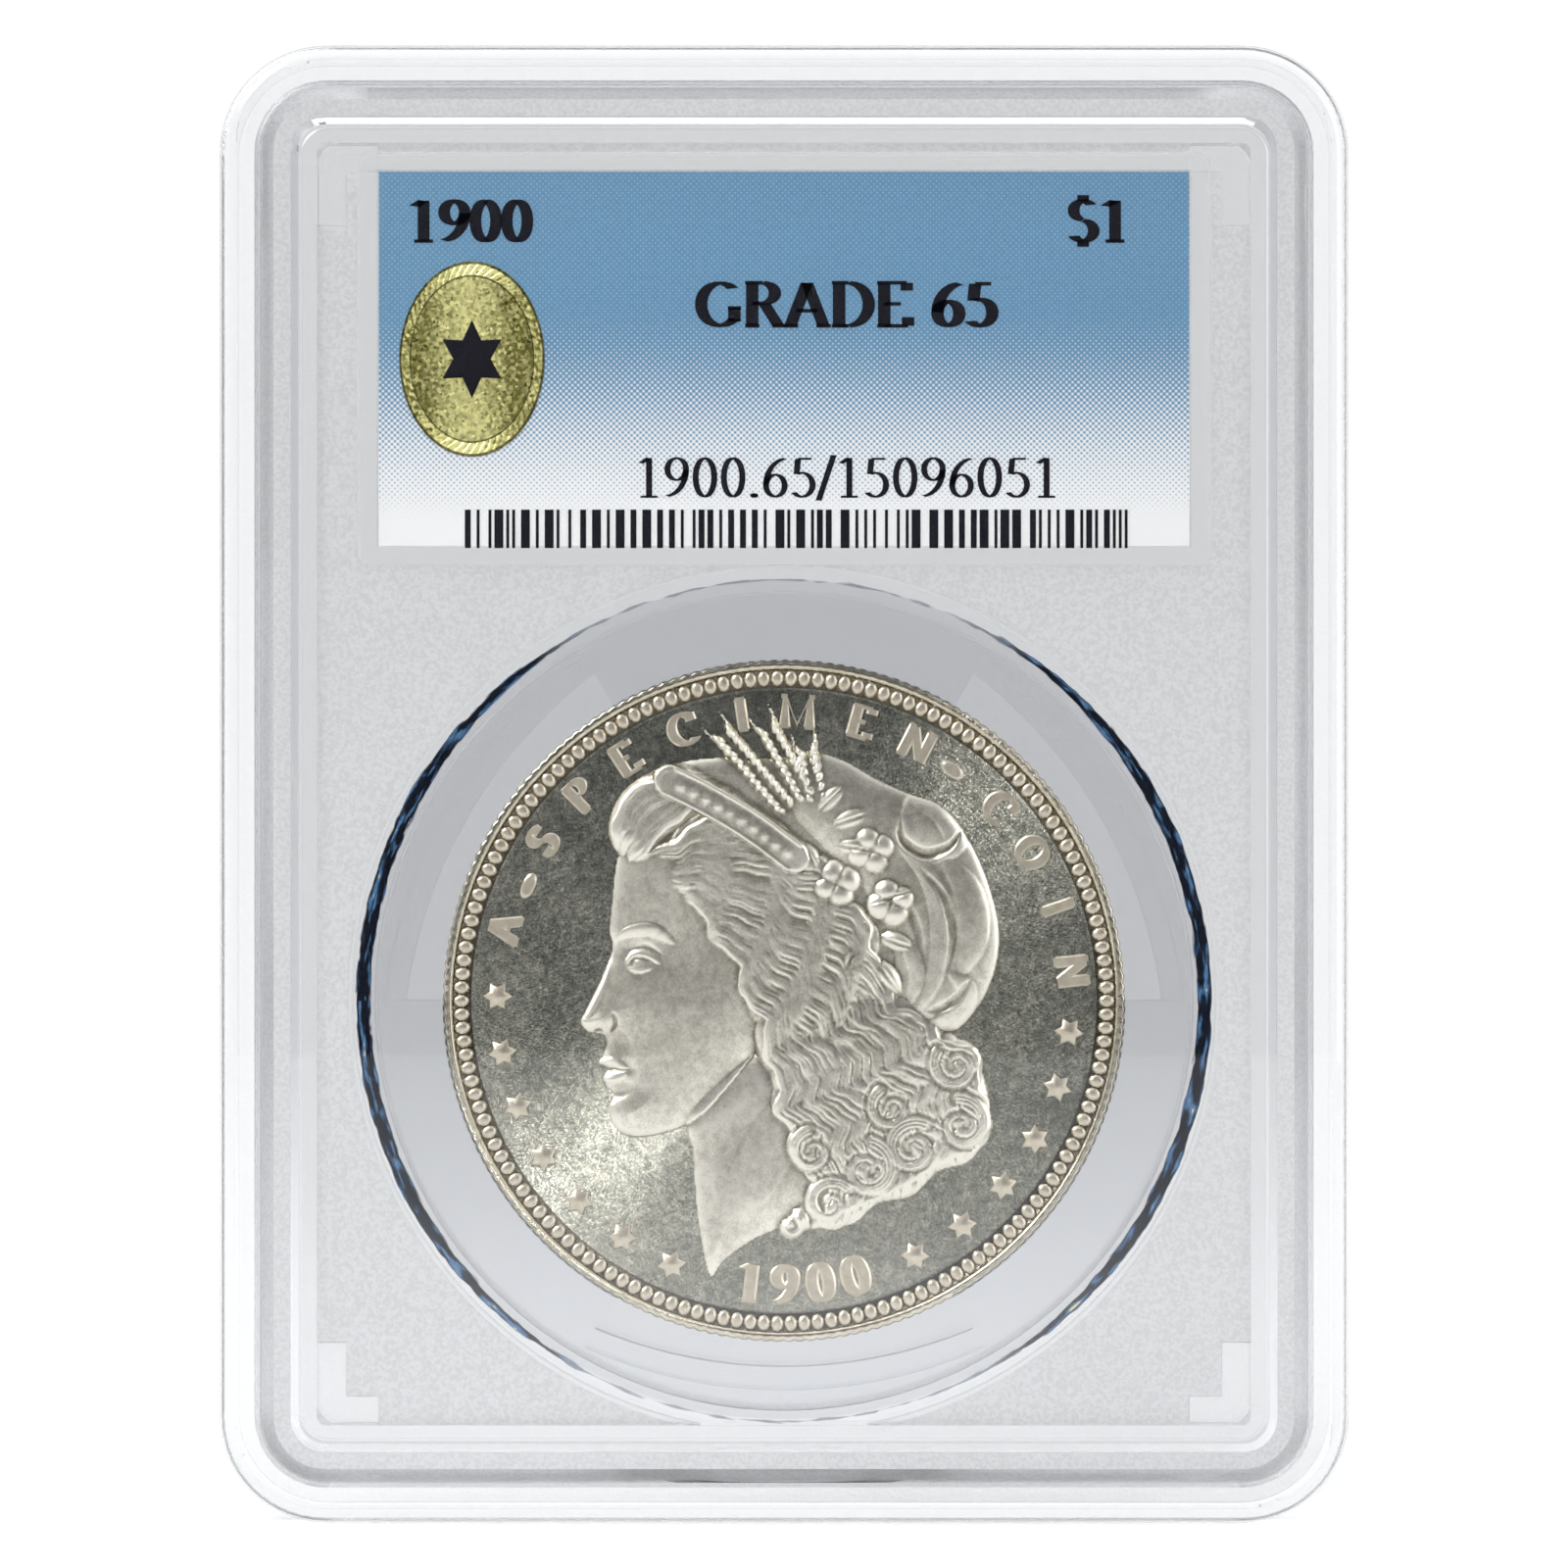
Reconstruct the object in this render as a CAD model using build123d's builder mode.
"""A sealed coin slab: two clear moulded shells, welded together round their edge, that hold one
dollar-sized coin in a three-fingered insert and a printed label in its own pocket above it.

The slab stands on its bottom edge. Seen from the front, +X is to the right and +Z is up, and the front
faces -Y. The origin is the middle of the bottom edge. A height named h runs from the parting plane
between the two shells, positive towards the front. An inset runs inwards from the slab's outer edge.
"""

import math
import os

from build123d import *

# Overall size of the slab
slab_width = 63.0
slab_height = 82.4
slab_thickness = 8.0
corner_radius = 6.0
half = slab_thickness / 2

# Front face, as insets and heights
front_fillet = 1.0
ledge_h = 2.9
ridge_foot = 2.3
ridge_crown = 3.15
ridge_inner = 4.1
ridge_inner_foot = 4.45
groove_floor_h = 2.75
panel_inset = 5.5
panel_h = 3.0
window_rise = 0.12
window_corner = 0.7

# Back face, as insets and heights
back_fillet = 0.9
rim_inner = 2.1
rim_inner_foot = 2.4
back_panel_h = -2.85

# Walls and ribs inside the shells
seam = 0.02
wall = 2.0
inner_h = 1.5
ridge_hollow_h = 2.4
rib_outer = 4.4
rib_inner = 5.45

# Weld: a tongue on the front shell fused into the bottom of a groove in the back one
weld_inset = 1.0
tongue_width = 0.6
groove_width = 0.8
groove_depth = 0.9

# L-shaped stacking lugs in the corners of the front panel
lug_inset = 5.55
lug_long = 4.6
lug_short = 3.4
lug_arm = 1.6
lug_corner = 1.4
lug_h = 3.9

# Embossed ornament low on the right of the front panel
ornament_x = 19.8
ornament_z = 9.1
ornament_width = 7.0
ornament_height = 2.4
ornament_line = 0.35
ornament_rise = 0.06

# Coin
coin_z = 29.1
coin_radius = 19.05
coin_thickness = 2.4
field_radius = 17.9
field_depth = 0.22
reeds = 180
reed_depth = 0.1
bead_count = 150
bead_ring = 17.5
bead_radius = 0.27
bead_rise = 0.14
star_ring = 16.0
star_radius = 0.85
star_waist = 0.5
star_rise = 0.12
left_stars = [179.1 + 11.3 * i for i in range(7)]
right_stars = [-6.3 - 11.3 * i for i in range(6)]

# Well and insert round the coin
well_inner = 22.85
well_outer = 24.1
window_radius = 24.25
insert_radius = 22.7
insert_h = 1.42
lip_reach = 18.85
lip_h = 1.25
gap_angles = (30, 150, 270)
gap_half_angle = 30
gap_end_radius = 21.15
gap_middle_radius = 20.45
step_end_radius = 22.3
step_middle_radius = 21.7
step_depth = 0.45

# Label, its pocket and the foil seals on it
label_z = 64.9
label_width = 45.2
label_height = 20.9
pocket_gap = 0.1
pocket_side_wall = 1.05
pocket_end_wall = 0.95
card_front_h = 1.4
card_thickness = 0.25
tag_width = 38.0
tag_height = 15.0
tag_thickness = 0.08
tag_corner = 1.0
seal_x = -17.4
seal_half_width = 4.05
seal_half_height = 5.45
foil_thickness = 0.04
back_seal_size = 12.0
back_seal_corner = 0.6
rail_inset = 0.4
rail_wall = 1.0

pocket_width = label_width + 2 * pocket_gap
pocket_height = label_height + 2 * pocket_gap
window_width = pocket_width + 2 * pocket_side_wall
window_height = pocket_height + 2 * pocket_end_wall
tag_front_h = card_front_h - card_thickness
back_label_front_h = tag_front_h - tag_thickness
label_back_h = back_label_front_h - card_thickness
field_h = coin_thickness / 2 - field_depth


def front_plane(h, z=slab_height / 2):
    """The plane at height h, seen from the front, with its own origin z up the slab."""
    return Plane((0, -h, z), x_dir=(1, 0, 0), z_dir=(0, -1, 0))


def outline(inset, mode=Mode.ADD):
    """The slab's outline at an inset."""
    radius = max(corner_radius - inset, 0.4)
    RectangleRounded(slab_width - 2 * inset, slab_height - 2 * inset, radius, mode=mode)


def band(outer, inner):
    """The band between two insets."""
    outline(outer)
    outline(inner, mode=Mode.SUBTRACT)


def trim_to_panel(z):
    """Cuts a sketch whose own origin is z up the slab back to the panel inside the ridge."""
    with Locations((0, slab_height / 2 - z)):
        outline(panel_inset, mode=Mode.INTERSECT)


def polar(angle, radius):
    """The point at an angle in degrees and a radius."""
    turn = math.radians(angle)
    return (radius * math.cos(turn), radius * math.sin(turn))


def star(angle):
    """A six-pointed star on the star ring, with one point outwards."""
    points = []
    for i in range(12):
        points.append(polar(angle + 30 * i, star_waist if i % 2 else star_radius))
    with Locations(polar(angle, star_ring)):
        Polygon(*points, align=None)


# Front shell: a tray with its outer edge rounded
with BuildPart() as front_shell:
    with BuildSketch(front_plane(seam)):
        outline(0)
    extrude(amount=ledge_h - seam)
    fillet(front_shell.edges().group_by(Axis.Y)[0], front_fillet)
    # Ridge that nests in the back rim of the next slab
    with BuildSketch(front_plane(ledge_h)):
        outline(ridge_foot)
    with BuildSketch(front_plane(half)):
        outline(ridge_crown)
    loft()
    # Recess inside the ridge, down to a polished groove
    with BuildSketch(front_plane(half)):
        outline(ridge_inner)
    with BuildSketch(front_plane(groove_floor_h)):
        outline(ridge_inner_foot)
    loft(mode=Mode.SUBTRACT)
    # Frosted panel, with polished windows over the coin and the label
    with BuildSketch(front_plane(groove_floor_h)):
        outline(panel_inset)
    extrude(amount=panel_h - groove_floor_h)
    with BuildSketch(front_plane(panel_h, coin_z)):
        Circle(window_radius)
        trim_to_panel(coin_z)
    extrude(amount=window_rise)
    with BuildSketch(front_plane(panel_h, label_z)):
        RectangleRounded(window_width, window_height, window_corner)
    extrude(amount=window_rise)
    # Stacking lugs
    for side in (-1, 1):
        for end in (-1, 1):
            corner_x = side * (slab_width / 2 - lug_inset)
            corner_y = end * (slab_height / 2 - lug_inset)
            with BuildSketch(front_plane(groove_floor_h)):
                with BuildLine():
                    FilletPolyline(
                        (corner_x - side * lug_short, corner_y),
                        (corner_x, corner_y),
                        (corner_x, corner_y - end * lug_long),
                        radius=lug_corner,
                    )
                    Polyline(
                        (corner_x, corner_y - end * lug_long),
                        (corner_x - side * lug_arm, corner_y - end * lug_long),
                        (corner_x - side * lug_arm, corner_y - end * lug_arm),
                        (corner_x - side * lug_short, corner_y - end * lug_arm),
                        (corner_x - side * lug_short, corner_y),
                    )
                make_face()
            extrude(amount=lug_h - groove_floor_h)
    # Ornament: a lozenge between two short rules
    with BuildSketch(front_plane(panel_h, ornament_z)):
        with Locations(
            (ornament_x, ornament_height / 2), (ornament_x, -ornament_height / 2)
        ):
            Rectangle(ornament_width, ornament_line)
        with Locations((ornament_x, 0)):
            Polygon(
                (-ornament_height / 2, 0),
                (0, -ornament_height / 3),
                (ornament_height / 2, 0),
                (0, ornament_height / 3),
                align=None,
            )
    extrude(amount=ornament_rise)
    # Hollow inside, deeper under the ridge
    with BuildSketch(front_plane(seam)):
        outline(wall)
    extrude(amount=inner_h - seam, mode=Mode.SUBTRACT)
    with BuildSketch(front_plane(inner_h)):
        band(wall, rib_outer)
    extrude(amount=ridge_hollow_h - inner_h, mode=Mode.SUBTRACT)
    # Ribs round the panel, the coin's well and the label's pocket
    with BuildSketch(front_plane(seam)):
        band(rib_outer, rib_inner)
    extrude(amount=inner_h - seam)
    with BuildSketch(front_plane(seam, coin_z)):
        Circle(well_outer)
        Circle(well_inner, mode=Mode.SUBTRACT)
    extrude(amount=inner_h - seam)
    with BuildSketch(front_plane(seam, label_z)):
        RectangleRounded(window_width, window_height, window_corner)
        Rectangle(pocket_width, pocket_height, mode=Mode.SUBTRACT)
    extrude(amount=inner_h - seam)
    # Tongue for the weld
    with BuildSketch(front_plane(-groove_depth)):
        band(weld_inset - tongue_width / 2, weld_inset + tongue_width / 2)
    extrude(amount=groove_depth + seam)
front_shell.part.label = "front_shell"

# Back shell: a tray with its outer edge rounded
with BuildPart() as back_shell:
    with BuildSketch(front_plane(-half)):
        outline(0)
    extrude(amount=half - seam)
    fillet(back_shell.edges().group_by(Axis.Y)[-1], back_fillet)
    # Recess that takes the front ridge of the next slab
    with BuildSketch(front_plane(-half)):
        outline(rim_inner)
    with BuildSketch(front_plane(back_panel_h)):
        outline(rim_inner_foot)
    loft(mode=Mode.SUBTRACT)
    # Polished windows behind the coin and the label
    with BuildSketch(front_plane(back_panel_h - window_rise, coin_z)):
        Circle(window_radius)
        trim_to_panel(coin_z)
    extrude(amount=window_rise)
    with BuildSketch(front_plane(back_panel_h - window_rise, label_z)):
        RectangleRounded(window_width, window_height, window_corner)
    extrude(amount=window_rise)
    # Hollow inside
    with BuildSketch(front_plane(-inner_h)):
        outline(wall)
    extrude(amount=inner_h - seam, mode=Mode.SUBTRACT)
    # Ribs round the panel and the coin's well
    with BuildSketch(front_plane(-inner_h)):
        band(rib_outer, rib_inner)
    extrude(amount=inner_h - seam)
    with BuildSketch(front_plane(-inner_h, coin_z)):
        Circle(well_outer)
        Circle(well_inner, mode=Mode.SUBTRACT)
    extrude(amount=inner_h - seam)
    # Rail that reaches into the front shell's pocket and holds the label against its window
    with BuildSketch(front_plane(-inner_h, label_z)):
        Rectangle(label_width - 2 * rail_inset, label_height - 2 * rail_inset)
        Rectangle(
            label_width - 2 * (rail_inset + rail_wall),
            label_height - 2 * (rail_inset + rail_wall),
            mode=Mode.SUBTRACT,
        )
    extrude(amount=label_back_h + inner_h)
    # Groove for the weld
    with BuildSketch(front_plane(-groove_depth)):
        band(weld_inset - groove_width / 2, weld_inset + groove_width / 2)
    extrude(amount=groove_depth - seam, mode=Mode.SUBTRACT)
back_shell.part.label = "back_shell"

# Insert: a soft clear ring whose three fingers grip the coin's rim under a thin lip on each side
with BuildPart() as coin_insert:
    with BuildSketch(front_plane(-insert_h, coin_z)):
        Circle(insert_radius)
        Circle(lip_reach, mode=Mode.SUBTRACT)
    extrude(amount=2 * insert_h)
    with BuildSketch(front_plane(-lip_h, coin_z)):
        Circle(coin_radius)
    extrude(amount=2 * lip_h, mode=Mode.SUBTRACT)
    # A gap between each two fingers, and a shallow step outside it on both faces
    for middle in gap_angles:
        for low, height, end_radius, middle_radius in (
            (-insert_h, 2 * insert_h, gap_end_radius, gap_middle_radius),
            (-insert_h, step_depth, step_end_radius, step_middle_radius),
            (insert_h - step_depth, step_depth, step_end_radius, step_middle_radius),
        ):
            start = polar(middle - gap_half_angle, end_radius)
            end = polar(middle + gap_half_angle, end_radius)
            with BuildSketch(front_plane(low, coin_z)):
                with BuildLine():
                    Line((0, 0), start)
                    ThreePointArc(start, polar(middle, middle_radius), end)
                    Line(end, (0, 0))
                make_face()
            extrude(amount=height, mode=Mode.SUBTRACT)
coin_insert.part.label = "coin_insert"

# Coin: a reeded disc with a sunk field, a ring of beads on each side and thirteen stars on the front
with BuildPart() as coin:
    reed_points = []
    for i in range(reeds):
        for share, radius in (
            (0.0, coin_radius),
            (0.5, coin_radius),
            (0.6, coin_radius - reed_depth),
            (0.9, coin_radius - reed_depth),
        ):
            reed_points.append(polar(360 * (i + share) / reeds, radius))
    with BuildSketch(front_plane(-coin_thickness / 2, coin_z)):
        Polygon(*reed_points, align=None)
    extrude(amount=coin_thickness)
    for low, bead_low in (
        (field_h, field_h),
        (-coin_thickness / 2, -field_h - bead_rise),
    ):
        with BuildSketch(front_plane(low, coin_z)):
            Circle(field_radius)
        extrude(amount=field_depth, mode=Mode.SUBTRACT)
        with BuildSketch(front_plane(bead_low, coin_z)):
            with PolarLocations(bead_ring, bead_count):
                Circle(bead_radius)
        extrude(amount=bead_rise)
    with BuildSketch(front_plane(field_h, coin_z)):
        for star_angle in left_stars + right_stars:
            star(star_angle)
    extrude(amount=star_rise)
coin.part.label = "coin"

# Label: a printed front card, a film tag with a loop antenna, and a printed back card
with BuildPart() as label_card:
    with BuildSketch(front_plane(tag_front_h, label_z)):
        Rectangle(label_width, label_height)
    extrude(amount=card_thickness)
label_card.part.label = "label_card"

with BuildPart() as antenna_tag:
    with BuildSketch(front_plane(back_label_front_h, label_z)):
        RectangleRounded(tag_width, tag_height, tag_corner)
    extrude(amount=tag_thickness)
antenna_tag.part.label = "antenna_tag"

with BuildPart() as back_label:
    with BuildSketch(front_plane(label_back_h, label_z)):
        Rectangle(label_width, label_height)
    extrude(amount=card_thickness)
back_label.part.label = "back_label"

# Foil seals: an oval one stuck to the front card and a square one stuck to the back card
with BuildPart() as seal_foil:
    with BuildSketch(front_plane(card_front_h, label_z)):
        with Locations((seal_x, 0)):
            Ellipse(seal_half_width, seal_half_height)
    extrude(amount=foil_thickness)
seal_foil.part.label = "seal_foil"

with BuildPart() as back_seal_foil:
    with BuildSketch(front_plane(label_back_h - foil_thickness, label_z)):
        RectangleRounded(back_seal_size, back_seal_size, back_seal_corner)
    extrude(amount=foil_thickness)
back_seal_foil.part.label = "back_seal_foil"

os.makedirs("parts", exist_ok=True)
export_step(front_shell.part, "parts/front_shell.step")
export_step(back_shell.part, "parts/back_shell.step")
export_step(coin_insert.part, "parts/coin_insert.step")
export_step(coin.part, "parts/coin.step")
export_step(label_card.part, "parts/label_card.step")
export_step(antenna_tag.part, "parts/antenna_tag.step")
export_step(back_label.part, "parts/back_label.step")
export_step(seal_foil.part, "parts/seal_foil.step")
export_step(back_seal_foil.part, "parts/back_seal_foil.step")
